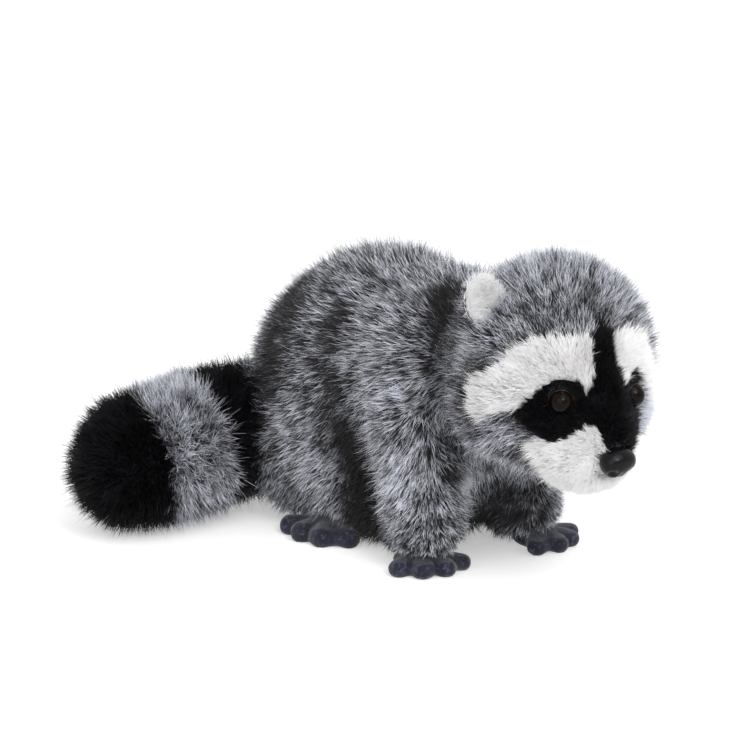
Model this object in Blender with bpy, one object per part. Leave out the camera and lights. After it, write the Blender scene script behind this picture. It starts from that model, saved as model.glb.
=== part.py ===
"""Plush raccoon resting on bent legs, with a thick ringed tail curled to its right side.

Metres, +Z up. The animal faces -Y, its right side is -X and its soles lie on Z = 0. Every sewn
piece is a closed solid whose skin is the mean surface of its pile, and neighbours keep a named gap.
"""

import math

import bmesh
import bpy
import numpy as np
from mathutils.geometry import delaunay_2d_cdt

MM = 0.001

# Driving dimensions, in millimetres unless a name says degrees.
SEAM_GAP = 0.4
FLOOR = 0.0
SOCKET_RISE = 6.0

BODY_HEART = (0.0, -22.0, 84.0)
RUMP_CENTRE, RUMP_RADII = (0.0, 13.0, 76.0), (60.0, 71.0, 67.0)
BACK_CENTRE, BACK_RADII = (0.0, -16.0, 92.0), (51.0, 64.0, 64.0)
CHEST_CENTRE, CHEST_RADII = (0.0, -76.0, 96.0), (47.5, 47.0, 57.0)
BELLY_CENTRE, BELLY_RADII = (0.0, -38.0, 50.0), (48.0, 58.0, 42.0)
BODY_BLEND = 22.0

HEAD_CENTRE = (0.0, -150.0, 118.0)
HEAD_PITCH_DEG, HEAD_YAW_DEG = 37.0, 8.0
SKULL_RADII = (51.0, 47.0, 51.0)
CHEEK_OFFSET, CHEEK_RADII = (26.0, 2.0, -23.0), (26.0, 31.0, 27.0)
JAW_DROP, JAW_RADII = (0.0, -26.0, -40.0), (28.0, 24.0, 23.0)
SNOUT_REACH, SNOUT_DROP, SNOUT_RADII = 44.0, -9.5, (16.5, 25.5, 20.5)
BRIDGE_START, BRIDGE_END, BRIDGE_RADII = (0.0, 17.0, 43.0), (0.0, 0.0, 61.0), (8.0, 8.0)
HEAD_BLEND = 14.0

PANEL_DEPTH, PANEL_BED = 3.5, 1.4
# Seam lines of the face's right half, in degrees from the head's forward axis: (to the left, upward).
STRIPE_APEX = (0.0, 66.5)
BRIDGE_SEAM = [(-11.4, 12.4), (-9.0, 11.0), (-6.5, 9.0), (-5.0, 5.5), (-4.2, 2.0), (0.0, -0.5)]
EYE_SEAM = [(-50.0, 3.9), (-43.8, -1.0), (-35.5, -4.2), (-27.8, -3.7), (-23.5, -0.2), (-18.0, 5.8),
            (-13.5, 10.6)]
LASH_SEAM = [(-8.6, 48.5), (-9.3, 39.0), (-11.0, 30.5), (-16.2, 23.7), (-19.2, 31.0), (-25.0, 31.8),
             (-31.5, 30.8), (-38.9, 25.2), (-42.8, 19.6), (-46.1, 12.7)]
FOREHEAD_SEAM = [(-9.2, 57.2), (-13.0, 59.3), (-20.8, 58.9), (-33.3, 57.0), (-45.1, 53.8), (-51.9, 49.9),
                 (-57.2, 45.0), (-62.2, 39.0), (-65.5, 32.8), (-67.8, 26.9), (-69.9, 21.2), (-77.8, 9.9),
                 (-79.8, 1.5), (-80.2, -7.0), (-76.7, -13.4), (-71.2, -17.7), (-66.0, -20.1), (-60.1, -7.8),
                 (-55.4, -0.1)]
CHIN_SEAM = [(-34.0, -7.4), (-35.7, -12.2), (-31.8, -19.0), (-27.0, -22.5), (-21.0, -27.0), (-13.0, -33.0),
             (0.0, -37.0)]
MUZZLE_CORNER = 3
BROW_SEAM = FOREHEAD_SEAM + EYE_SEAM[:1] + LASH_SEAM[::-1]
MASK_SEAM = [STRIPE_APEX, FOREHEAD_SEAM[0]] + LASH_SEAM + EYE_SEAM + BRIDGE_SEAM
MUZZLE_SEAM = BRIDGE_SEAM[::-1] + EYE_SEAM[:MUZZLE_CORNER - 1:-1] + CHIN_SEAM
FACE_SEAM = [STRIPE_APEX] + FOREHEAD_SEAM + EYE_SEAM[:MUZZLE_CORNER + 1] + CHIN_SEAM
# The left half is the same beyond the stripe, drawn narrower.
LEFT_FOLD_DEG, LEFT_SHARE = 10.0, 0.75
SEAM_STEP_DEG, FILL_STEP_DEG = 8.0, 8.0

EYE_RADIUS, EYE_DOME = 6.2, 5.2
EYE_AIM_DEG = (-28.4, 18.4)
EYE_SINK = 2.2
NOSE_RADII = (9.5, 7.5, 7.5)
NOSE_AIM_DEG = (0.0, 2.0)
NOSE_SINK = 3.2

EAR_WIDTH, EAR_HEIGHT, EAR_THICKNESS, EAR_CUP = 25.0, 30.0, 6.5, 5.0
EAR_RIM, EAR_CUP_UP = 0.4, 0.4
EAR_CENTRE = (-40.5, -143.5, 148.0)
LEFT_EAR_SHIFT = (-4.5, 20.5, -3.0)
EAR_YAW_DEG, EAR_TILT_DEG, EAR_LEAN_DEG = -24.0, 8.0, 10.0

SHOULDER, FRONT_WRIST = (-33.0, -82.0, 72.0), (-36.5, -96.0, 21.5)
SHOULDER_RADIUS, WRIST_RADIUS = 27.0, 20.5
LEFT_WRIST = (30.5, -96.0, 21.5)
LEFT_PAW_SHIFT = (0.5, -5.0, 0.0)
FRONT_PAD_CENTRE, FRONT_PAD_RADII = (-38.0, -93.0, 4.5), (15.0, 15.0, 7.0)
FRONT_TOES = [(-55.5, -97.5), (-47.5, -107.0), (-36.0, -111.0), (-24.0, -108.0)]
FRONT_TOE_RADIUS, FRONT_TOE_HEIGHT = 6.2, 11.5

HAUNCH_CENTRE, HAUNCH_RADII = (-38.0, 16.0, 46.0), (29.0, 54.0, 47.0)
HAUNCH_HEART = (-36.0, -4.0, 34.0)
KNEE_CENTRE, KNEE_RADII = (-33.0, -36.0, 25.0), (20.0, 26.0, 24.0)
HIND_PAD_CENTRE, HIND_PAD_RADII = (-46.0, -18.0, 4.5), (12.0, 24.0, 7.0)
HIND_TOES = [(-61.0, -6.0), (-63.0, -20.0), (-59.5, -33.5), (-49.5, -43.0)]
HIND_TOE_RADIUS, HIND_TOE_HEIGHT = 7.2, 13.5
TOE_BLEND = 2.5
TOE_START, TOE_HEEL = 0.35, 0.85
PAW_LEVELS = (0.0, 0.2, 0.5, 0.76, 0.93)

TAIL_PATH = [(2.0, 44.0, 52.0), (-22.0, 50.0, 50.0), (-52.0, 53.0, 47.0), (-86.0, 49.0, 44.0),
             (-116.0, 50.0, 39.0), (-140.0, 56.0, 36.5), (-166.0, 66.0, 36.0)]
TAIL_RADII = [24.0, 30.0, 37.0, 40.5, 40.0, 38.0, 36.0]
TAIL_ROOT = 2.0
TAIL_RINGS = (89.5, 121.0, 166.5)
TAIL_END_ROUND = 33.0

PALETTE = {
    "grey_fur": ((0.23, 0.23, 0.26, 1.0), 0.95),
    "white_pile": ((0.86, 0.84, 0.80, 1.0), 0.95),
    "black_pile": ((0.012, 0.012, 0.014, 1.0), 0.9),
    "light_fur": ((0.42, 0.42, 0.46, 1.0), 0.95),
    "suede": ((0.045, 0.047, 0.065, 1.0), 0.85),
    "gloss_dark": ((0.01, 0.006, 0.005, 1.0), 0.08),
    "nose_black": ((0.006, 0.006, 0.008, 1.0), 0.3),
}


def ball(centre, radii, frame=None):
    """Field of an ellipsoid, near to a distance by its skin and negative inside."""
    centre, radii = np.array(centre, float), np.array(radii, float)
    frame = np.eye(3) if frame is None else np.array(frame, float)

    def field(points):
        local = (points - centre) @ frame.T / radii
        reach = np.linalg.norm(local, axis=1)
        return reach * (reach - 1.0) / np.maximum(np.linalg.norm(local / radii, axis=1), 1e-6)

    return field


def rod(start, end, start_radius, end_radius):
    """Field of a round-ended rod that tapers."""
    start, end = np.array(start, float), np.array(end, float)
    span = end - start

    def field(points):
        along = np.clip((points - start) @ span / (span @ span), 0.0, 1.0)
        off = np.linalg.norm(points - start - along[:, None] * span, axis=1)
        return off - start_radius - along * (end_radius - start_radius)

    return field


def blend(fields, width):
    """Union of fields with a soft fillet of this width."""

    def field(points):
        total = fields[0](points)
        for other in fields[1:]:
            values = other(points)
            mix = np.maximum(width - np.abs(total - values), 0.0) / width
            total = np.minimum(total, values) - mix * mix * width / 4.0
        return total

    return field


def on_floor(inner):
    """The same field cut flat at the floor."""
    return lambda points: np.maximum(inner(points), FLOOR - points[:, 2])


def leave(field, heart, ways, reach=160.0):
    """Distance from heart at which each way leaves the solid, for a solid that each way leaves once."""
    low, high = np.zeros(len(ways)), np.full(len(ways), reach)
    for _ in range(26):
        middle = (low + high) / 2.0
        inside = field(heart + ways * middle[:, None]) < 0.0
        low, high = np.where(inside, middle, low), np.where(inside, high, middle)
    return low


def frame_about(axis):
    """Three unit rows, the last along axis."""
    axis = np.array(axis, float) / np.linalg.norm(axis)
    side = np.cross((0.0, 0.0, 1.0) if abs(axis[2]) < 0.9 else (0.0, 1.0, 0.0), axis)
    side /= np.linalg.norm(side)
    return np.array([side, np.cross(axis, side), axis])


def solid(name, points, faces, finish):
    """A scene object from points in millimetres, with outward faces."""
    mesh = bpy.data.meshes.new(name)
    mesh.from_pydata([tuple(point * MM) for point in np.asarray(points, float)], [], faces)
    build = bmesh.new()
    build.from_mesh(mesh)
    bmesh.ops.recalc_face_normals(build, faces=build.faces)
    if build.calc_volume(signed=True) < 0.0:
        bmesh.ops.reverse_faces(build, faces=build.faces)
    bmesh.ops.triangulate(build, faces=build.faces)
    build.to_mesh(mesh)
    build.free()
    obj = bpy.data.objects.new(name, mesh)
    bpy.context.scene.collection.objects.link(obj)
    obj.data.materials.append(finish_of(name, finish))
    return obj


def finish_of(name, finish):
    """The object's own Principled material."""
    colour, roughness = PALETTE[finish]
    material = bpy.data.materials.new(f"{name}_{finish}")
    material.use_nodes = True
    shader = material.node_tree.nodes["Principled BSDF"]
    shader.inputs["Base Color"].default_value = colour
    shader.inputs["Roughness"].default_value = roughness
    material.diffuse_color = colour
    return material


def star_solid(name, field, heart, rings, segments, pole, finish):
    """Skin of a star-shaped field, as rings of points about the pole axis through heart."""
    heart, axes = np.array(heart, float), frame_about(pole)
    ways = [axes[2]]
    for ring in range(1, rings):
        lean = math.pi * ring / rings
        for step in range(segments):
            turn = 2.0 * math.pi * step / segments
            flat = math.cos(turn) * axes[0] + math.sin(turn) * axes[1]
            ways.append(math.cos(lean) * axes[2] + math.sin(lean) * flat)
    ways.append(-axes[2])
    ways = np.array(ways)
    points = heart + ways * leave(field, heart, ways)[:, None]
    last, faces = len(points) - 1, []
    for step in range(segments):
        after = (step + 1) % segments
        faces.append((0, 1 + step, 1 + after))
        tail = last - segments
        faces.append((last, tail + after, tail + step))
        for ring in range(rings - 2):
            here, there = 1 + ring * segments, 1 + (ring + 1) * segments
            faces.append((here + step, there + step, there + after, here + after))
    return solid(name, points, faces, finish)


def mirrored(obj, name, shift=(0.0, 0.0, 0.0), normal=(1.0, 0.0, 0.0), through=(0.0, 0.0, 0.0)):
    """A copy seen in the mirror plane through a point, with its own mesh and material."""
    points = np.array([vertex.co[:] for vertex in obj.data.vertices]) / MM
    away = (points - np.array(through)) @ np.array(normal)
    points = points - 2.0 * away[:, None] * np.array(normal) + shift
    faces = [tuple(reversed(face.vertices)) for face in obj.data.polygons]
    finish = obj.data.materials[0].name.removeprefix(obj.name + "_")
    return solid(name, points, faces, finish)


def clearance_copy(obj, gap):
    """A hidden cutter: obj with every face moved out by gap."""
    build = bmesh.new()
    build.from_mesh(obj.data)
    build.normal_update()
    moves = [vertex.normal * min(vertex.calc_shell_factor(), 2.5) * gap * MM for vertex in build.verts]
    for vertex, move in zip(build.verts, moves):
        vertex.co += move
    mesh = bpy.data.meshes.new(f"{obj.name}_clearance")
    build.to_mesh(mesh)
    build.free()
    return hidden(bpy.data.objects.new(mesh.name, mesh))


def hidden(cutter):
    """Links a cutter and keeps it out of the part."""
    if not cutter.users_collection:
        bpy.context.scene.collection.objects.link(cutter)
    cutter.hide_render = True
    cutter.hide_set(True)
    cutter.display_type = "WIRE"
    return cutter


def cut(obj, cutter):
    """Takes the cutter out of obj with a live exact Boolean."""
    modifier = obj.modifiers.new(f"less_{cutter.name}", "BOOLEAN")
    modifier.operation, modifier.solver, modifier.object = "DIFFERENCE", "EXACT", cutter
    return obj


def body_field():
    parts = [ball(RUMP_CENTRE, RUMP_RADII), ball(BACK_CENTRE, BACK_RADII),
             ball(CHEST_CENTRE, CHEST_RADII), ball(BELLY_CENTRE, BELLY_RADII)]
    return on_floor(blend(parts, BODY_BLEND))


def head_axes():
    """Rows: to the left, upward across the face, forward."""
    pitch, yaw = math.radians(HEAD_PITCH_DEG), math.radians(HEAD_YAW_DEG)
    left = np.array([math.cos(yaw), -math.sin(yaw), 0.0])
    ahead = np.array([-math.sin(yaw), -math.cos(yaw), 0.0])
    rise = np.array([0.0, 0.0, 1.0])
    return np.array([left, rise * math.cos(pitch) + ahead * math.sin(pitch),
                     ahead * math.cos(pitch) - rise * math.sin(pitch)])


def head_field():
    centre, axes = np.array(HEAD_CENTRE), head_axes()
    level = np.array([axes[0], np.cross((0.0, 0.0, 1.0), axes[0]), (0.0, 0.0, 1.0)])
    snout = centre + axes[2] * SNOUT_REACH + axes[1] * SNOUT_DROP
    parts = [ball(centre, SKULL_RADII, level), ball(centre + np.array(JAW_DROP) @ level, JAW_RADII, level)]
    for side in (-1.0, 1.0):
        parts.append(ball(centre + (np.array(CHEEK_OFFSET) * (side, 1.0, 1.0)) @ level, CHEEK_RADII, level))
    parts.append(ball(snout, (SNOUT_RADII[0], SNOUT_RADII[2], SNOUT_RADII[1]), axes))
    ridge = [centre + np.array(end) @ axes for end in (BRIDGE_START, BRIDGE_END)]
    parts.append(rod(*ridge, *BRIDGE_RADII))
    return blend(parts, HEAD_BLEND)


def face_ways(seam_points):
    """Directions from the head's centre for points in degrees on the face."""
    flat = np.radians(np.array(seam_points, float))
    lean = np.linalg.norm(flat, axis=1)
    axes = head_axes()
    spread = np.sin(lean) / np.maximum(lean, 1e-9)
    return (flat[:, :1] * spread[:, None] * axes[0] + flat[:, 1:] * spread[:, None] * axes[1]
            + np.cos(lean)[:, None] * axes[2])


def face_points(seam_points, rise):
    """Points on the head's skin, or above it by rise."""
    centre, ways = np.array(HEAD_CENTRE), face_ways(seam_points)
    return centre + ways * (leave(head_field(), centre, ways) + rise)[:, None]


def resampled(outline, step):
    points = []
    for start, end in zip(outline, outline[1:] + outline[:1]):
        start, end = np.array(start), np.array(end)
        count = max(1, int(math.ceil(np.linalg.norm(end - start) / step)))
        points += [tuple(start + (end - start) * share / count) for share in range(count)]
    return points


def turned_area(outline):
    points = np.array(outline)
    after = np.roll(points, -1, axis=0)
    return float((points[:, 0] * after[:, 1] - points[:, 1] * after[:, 0]).sum()) / 2.0


def spread_outline(outline, amount):
    """The outline with every edge moved outward by amount, or inward if it is negative."""
    points = np.array(outline)
    sign = 1.0 if turned_area(outline) > 0.0 else -1.0
    before, after = np.roll(points, 1, axis=0), np.roll(points, -1, axis=0)
    one, two = points - before, after - points
    one /= np.linalg.norm(one, axis=1)[:, None]
    two /= np.linalg.norm(two, axis=1)[:, None]
    outward = np.stack([one[:, 1], -one[:, 0]], axis=1) * sign
    bisector = outward + np.stack([two[:, 1], -two[:, 0]], axis=1) * sign
    length = np.linalg.norm(bisector, axis=1)[:, None]
    bisector /= np.maximum(length, 0.5)
    grow = amount / np.maximum((bisector * outward).sum(axis=1), 0.45)
    return [tuple(point) for point in points + bisector * grow[:, None]]


def inside(outline, point):
    x, y, odd = point[0], point[1], False
    for (x0, y0), (x1, y1) in zip(outline, outline[1:] + outline[:1]):
        if (y0 > y) != (y1 > y) and x < (x1 - x0) * (y - y0) / (y1 - y0) + x0:
            odd = not odd
    return odd


def panel(name, seam, spread, low, high, finish):
    """A sewn face panel: the seam outline laid on the head from low to high above its skin."""
    degrees = math.degrees(spread / SKULL_RADII[1])
    outline = spread_outline(resampled(seam, SEAM_STEP_DEG), degrees)
    edge, half_step, fill = np.array(outline), FILL_STEP_DEG / 2.0, []
    rows = np.arange(edge[:, 1].min(), edge[:, 1].max(), half_step * math.sqrt(3.0))
    for row, y in enumerate(rows):
        for x in np.arange(edge[:, 0].min() + (1 - row % 2) * half_step, edge[:, 0].max(), FILL_STEP_DEG):
            if inside(outline, (x, y)) and np.linalg.norm(edge - (x, y), axis=1).min() > half_step:
                fill.append((x, y))
    count = len(outline)
    ring = [(index, (index + 1) % count) for index in range(count)]
    flat, _, faces, *_ = delaunay_2d_cdt(outline + fill, ring, [], 1, 1e-6)
    flat = [tuple(point) for point in flat]
    size = len(flat)
    points = np.concatenate([face_points(flat, high), face_points(flat, low)])
    every = [tuple(face) for face in faces]
    every += [tuple(size + one for one in reversed(face)) for face in faces]
    used = {pair for face in faces for pair in zip(face, list(face[1:]) + [face[0]])}
    for one, two in sorted(used):
        if (two, one) not in used:
            every.append((two, one, size + one, size + two))
    return solid(name, points, every, finish)


def on_left(point):
    """The place on the face's left half that answers to a point of its right half."""
    across = -point[0]
    if across > LEFT_FOLD_DEG:
        across = LEFT_FOLD_DEG + (across - LEFT_FOLD_DEG) * LEFT_SHARE
    return across, point[1]


def whole_seam(half):
    """A whole outline from its right half, which starts and ends on the middle line."""
    return half + [on_left(point) for point in reversed(half) if point[0] < 0.0]


def face_button(name, aim, sink, radii, finish, rings=7, segments=16):
    """A dome set into the face: radii are (across, up, out)."""
    way = face_ways([aim])[0]
    outward = face_points([aim], 0.0)[0]
    step = np.array([face_points([(aim[0] + dx, aim[1] + dy)], 0.0)[0] - outward
                     for dx, dy in ((3.0, 0.0), (0.0, 3.0))])
    normal = np.cross(step[0], step[1])
    normal *= np.sign(normal @ way) / np.linalg.norm(normal)
    across = step[0] - normal * (step[0] @ normal)
    across /= np.linalg.norm(across)
    frame = np.array([across, np.cross(normal, across), normal])
    centre = outward - normal * sink
    return star_solid(name, ball(centre, radii, frame), centre, rings, segments, normal, finish)


def ear_frame():
    """Rows: across the ear, up the ear, out of its front."""
    yaw, tilt, lean = (math.radians(value) for value in (EAR_YAW_DEG, EAR_TILT_DEG, EAR_LEAN_DEG))
    front = np.array([math.sin(yaw), -math.cos(yaw), 0.0])
    across = np.array([math.cos(yaw), math.sin(yaw), 0.0])
    up = np.array([0.0, 0.0, 1.0])
    front, up = front * math.cos(lean) + up * math.sin(lean), up * math.cos(lean) - front * math.sin(lean)
    across, up = across * math.cos(tilt) + up * math.sin(tilt), up * math.cos(tilt) - across * math.sin(tilt)
    return np.array([across, up, front])


def ear_layer(name, front, back, grow, finish):
    """A layer of the right ear: a cupped oval between two shares of its half thickness, front and back."""
    axes, centre = ear_frame(), np.array(EAR_CENTRE)
    levels, count = (0.0, 0.4, 0.75, 1.0), 16
    points, starts, faces = [], [], []
    for share, lift in ((front, grow), (back, -grow)):
        for level in levels:
            bulge = math.sqrt(max(0.0, 1.0 - level * level))
            thick = (EAR_RIM + (1.0 - EAR_RIM) * bulge) * EAR_THICKNESS / 2.0
            starts.append(len(points))
            for step in range(1 if level == 0.0 else count):
                turn = 2.0 * math.pi * step / count
                across = math.cos(turn) * level * (EAR_WIDTH / 2.0 + grow)
                up = math.sin(turn) * level * (EAR_HEIGHT / 2.0 + grow)
                cup = (2.0 * across / EAR_WIDTH) ** 2 + EAR_CUP_UP * (2.0 * up / EAR_HEIGHT) ** 2
                out = share * thick + lift + cup * EAR_CUP
                points.append(centre + np.array([across, up, out]) @ axes)
    half = len(levels)
    for step in range(count):
        after = (step + 1) % count
        for base in (0, half):
            faces.append((starts[base], starts[base + 1] + step, starts[base + 1] + after))
            for level in range(1, half - 1):
                here, there = starts[base + level], starts[base + level + 1]
                faces.append((here + step, there + step, there + after, here + after))
        rim, under = starts[half - 1], starts[2 * half - 1]
        faces.append((rim + step, under + step, under + after, rim + after))
    return solid(name, points, faces, finish)


def paw(name, heart, pad_radii, toes, toe_radius, toe_height, finish, segments=42):
    """Suede paw as level slices: toes that reach out of a pad, flat below."""
    heart = np.array(heart, float)
    parts = [ball(heart, pad_radii)]
    for x, y in toes:
        tip = np.array([x, y, heart[2]])
        parts.append(rod(heart + (tip - heart) * TOE_START, tip, toe_radius * TOE_HEEL, toe_radius))
    field = blend(parts, TOE_BLEND)
    stretch = toe_height / (heart[2] + toe_radius)
    top = leave(field, heart, np.array([(0.0, 0.0, 1.0)]))[0] + heart[2]
    levels = [share * top for share in PAW_LEVELS]
    turns = [2.0 * math.pi * step / segments for step in range(segments)]
    ways = np.array([(math.cos(turn), math.sin(turn), 0.0) for turn in turns])
    points = []
    for level in levels:
        middle = np.array([heart[0], heart[1], level])
        for spot in middle + ways * leave(field, middle, ways)[:, None]:
            points.append((spot[0], spot[1], spot[2] * stretch))
    points += [(heart[0], heart[1], 0.0), (heart[0], heart[1], top * stretch)]
    sole, crown, high = len(points) - 2, len(points) - 1, (len(levels) - 1) * segments
    faces = []
    for step in range(segments):
        after = (step + 1) % segments
        faces += [(sole, after, step), (crown, high + step, high + after)]
        for row in range(0, high, segments):
            faces.append((row + step, row + after, row + segments + after, row + segments + step))
    return solid(name, points, faces, finish)


def foreleg_of(name, shoulder, wrist):
    field = on_floor(rod(shoulder, wrist, SHOULDER_RADIUS, WRIST_RADIUS))
    heart = (np.array(shoulder) + wrist) / 2.0
    return star_solid(name, field, heart, 9, 18, (0.0, 0.0, 1.0), "grey_fur")


def tail_course():
    """Samples along the tail: arc length, centre and radius."""
    knots = np.array(TAIL_PATH)
    padded = np.concatenate([[2 * knots[0] - knots[1]], knots, [2 * knots[-1] - knots[-2]]])
    centres, radii = [], []
    for index in range(1, len(padded) - 2):
        p0, p1, p2, p3 = padded[index - 1:index + 3]
        for share in np.linspace(0.0, 1.0, 24, endpoint=False):
            centres.append(0.5 * (2 * p1 + (p2 - p0) * share + (2 * p0 - 5 * p1 + 4 * p2 - p3) * share ** 2
                                  + (3 * p1 - p0 - 3 * p2 + p3) * share ** 3))
            radii.append(TAIL_RADII[index - 1] * (1 - share) + TAIL_RADII[index] * share)
    centres.append(knots[-1])
    radii.append(TAIL_RADII[-1])
    centres = np.array(centres)
    arc = np.concatenate([[0.0], np.cumsum(np.linalg.norm(np.diff(centres, axis=0), axis=1))])
    return arc, centres, np.array(radii)


def tail_band(name, start, end, stations, finish, rounded=False, count=24):
    """A stuffed band of the tail between two arc lengths; the last band closes in a round end."""
    arc, centres, radii = tail_course()
    rings = []
    for place in np.linspace(0.0, 1.0, stations):
        at = start + (end - start) * (math.sin(place * math.pi / 2.0) if rounded else place)
        size = np.interp(at, arc, radii)
        if rounded and at > end - TAIL_END_ROUND:
            size *= math.sqrt(max(0.0, 1.0 - ((at - end + TAIL_END_ROUND) / TAIL_END_ROUND) ** 2))
        centre = np.array([np.interp(at, arc, centres[:, axis]) for axis in range(3)])
        ahead = np.array([np.interp(at + 0.5, arc, centres[:, axis]) for axis in range(3)])
        behind = np.array([np.interp(at - 0.5, arc, centres[:, axis]) for axis in range(3)])
        along = (ahead - behind) / np.linalg.norm(ahead - behind)
        side = np.cross((0.0, 0.0, 1.0), along)
        side /= np.linalg.norm(side)
        up = np.cross(along, side)
        if size < 1.0:
            rings.append([centre])
            continue
        ring = []
        for step in range(count):
            turn = 2.0 * math.pi * step / count
            point = centre + size * (math.cos(turn) * side + math.sin(turn) * up)
            ring.append(np.array([point[0], point[1], max(point[2], FLOOR)]))
        rings.append(ring)
    points, starts = [], []
    for ring in rings:
        starts.append(len(points))
        points += ring
    faces = [tuple(reversed(range(count)))]
    for here, there, ring in zip(starts, starts[1:], rings[1:]):
        for step in range(count):
            after = (step + 1) % count
            if len(ring) == 1:
                faces.append((here + step, here + after, there))
            else:
                faces.append((here + step, here + after, there + after, there + step))
    if len(rings[-1]) > 1:
        faces.append(tuple(starts[-1] + step for step in range(count)))
    return solid(name, points, faces, finish)


def settle(name):
    """Parents every piece and cutter to an empty, placed so that the world origin lies on the floor
    under the middle of the part's box."""
    bpy.context.view_layer.update()
    graph = bpy.context.evaluated_depsgraph_get()
    pieces, spots = list(bpy.data.objects), []
    for obj in pieces:
        if obj.hide_render:
            continue
        shown = obj.evaluated_get(graph)
        spots += [vertex.co[:] for vertex in shown.to_mesh().vertices]
        shown.to_mesh_clear()
    low, high = np.min(spots, axis=0), np.max(spots, axis=0)
    root = bpy.data.objects.new(name, None)
    bpy.context.scene.collection.objects.link(root)
    root.location = (-(low[0] + high[0]) / 2.0, -(low[1] + high[1]) / 2.0, -low[2])
    for obj in pieces:
        obj.parent = root


def clear_scene():
    for obj in list(bpy.data.objects):
        bpy.data.objects.remove(obj, do_unlink=True)


def build():
    """Makes every piece. A piece made later gives way to the ones that it touches."""
    gap = SEAM_GAP
    body = star_solid("body", body_field(), BODY_HEART, 18, 28, (0.0, 1.0, 0.0), "grey_fur")
    head = star_solid("head", head_field(), HEAD_CENTRE, 20, 30, head_axes()[2], "grey_fur")
    cut(body, clearance_copy(head, gap))

    dome = (EYE_RADIUS, EYE_RADIUS, EYE_DOME)
    eyes = [face_button(f"eye_{side}", aim, EYE_SINK, dome, "gloss_dark")
            for side, aim in (("right", EYE_AIM_DEG), ("left", on_left(EYE_AIM_DEG)))]
    nose = face_button("nose", NOSE_AIM_DEG, NOSE_SINK, NOSE_RADII, "nose_black", 8, 18)
    buttons = [clearance_copy(one, gap) for one in eyes + [nose]]

    brow_left = [on_left(point) for point in BROW_SEAM]
    seams = {"brow_right": (BROW_SEAM, "white_pile"), "brow_left": (brow_left, "white_pile"),
             "mask": (whole_seam(MASK_SEAM), "black_pile"),
             "muzzle": (whole_seam(MUZZLE_SEAM), "white_pile")}
    for name, (seam, finish) in seams.items():
        piece = panel(name, seam, -gap / 2.0, -PANEL_DEPTH, 0.0, finish)
        for button in buttons:
            if name in ("mask", "muzzle"):
                cut(piece, button)
    bed = -PANEL_DEPTH - PANEL_BED
    recess = panel("face_recess", whole_seam(FACE_SEAM), gap / 2.0, bed, SOCKET_RISE, "grey_fur")
    for cutter in [hidden(recess)] + buttons:
        cut(head, cutter)

    split = gap / EAR_THICKNESS
    across = {"shift": LEFT_EAR_SHIFT, "normal": head_axes()[0], "through": HEAD_CENTRE}
    for label, front, back, finish in (("front", 1.0, split, "white_pile"), ("back", -split, -1.0, "grey_fur")):
        mirrored(ear_layer(f"ear_{label}_right", front, back, 0.0, finish), f"ear_{label}_left", **across)
    socket = ear_layer("ear_socket_right", 1.0, -1.0, gap, "grey_fur")
    for cutter in (socket, mirrored(socket, "ear_socket_left", **across)):
        cut(head, hidden(cutter))

    foreleg = foreleg_of("foreleg_right", SHOULDER, FRONT_WRIST)
    foreleg_left = foreleg_of("foreleg_left", (-SHOULDER[0],) + SHOULDER[1:], LEFT_WRIST)
    front_paw = paw("front_paw_right", FRONT_PAD_CENTRE, FRONT_PAD_RADII, FRONT_TOES,
                    FRONT_TOE_RADIUS, FRONT_TOE_HEIGHT, "suede")
    front_paw_left = mirrored(front_paw, "front_paw_left", LEFT_PAW_SHIFT)
    thigh = blend([ball(HAUNCH_CENTRE, HAUNCH_RADII), ball(KNEE_CENTRE, KNEE_RADII)], BODY_BLEND)
    haunch = star_solid("haunch_right", on_floor(thigh), HAUNCH_HEART, 10, 20, (0.0, 0.0, 1.0), "grey_fur")
    haunch_left = mirrored(haunch, "haunch_left")
    hind_paw = paw("hind_paw_right", HIND_PAD_CENTRE, HIND_PAD_RADII, HIND_TOES,
                   HIND_TOE_RADIUS, HIND_TOE_HEIGHT, "suede")
    hind_paw_left = mirrored(hind_paw, "hind_paw_left")

    ring_one, ring_two, tip = TAIL_RINGS
    base = tail_band("tail_base", TAIL_ROOT, ring_one - gap / 2.0, 7, "black_pile")
    tail_band("tail_ring", ring_one + gap / 2.0, ring_two - gap / 2.0, 4, "light_fur")
    tail_band("tail_tip", ring_two + gap / 2.0, tip, 10, "black_pile", rounded=True)

    for leg, foot in ((foreleg, front_paw), (foreleg_left, front_paw_left),
                      (haunch, hind_paw), (haunch_left, hind_paw_left)):
        cut(leg, clearance_copy(foot, gap))
    for leg in (foreleg, foreleg_left):
        cut(body, clearance_copy(leg, gap))
    for leg in (haunch, haunch_left):
        cut(body, clearance_copy(leg, gap))
    base_clearance = clearance_copy(base, gap)
    for one in (body, haunch, haunch_left):
        cut(one, base_clearance)


clear_scene()
build()
settle("raccoon")
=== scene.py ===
"""Dresses the plush raccoon: long grizzled coat, short-pile face, suede paws, glossy eyes and nose."""

from __future__ import annotations

import logging
import math
from dataclasses import dataclass, field
from enum import Enum
from typing import Any, Iterable, Sequence

import bpy
import bmesh
import numpy as np
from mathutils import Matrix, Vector
from mathutils.bvhtree import BVHTree


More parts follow.
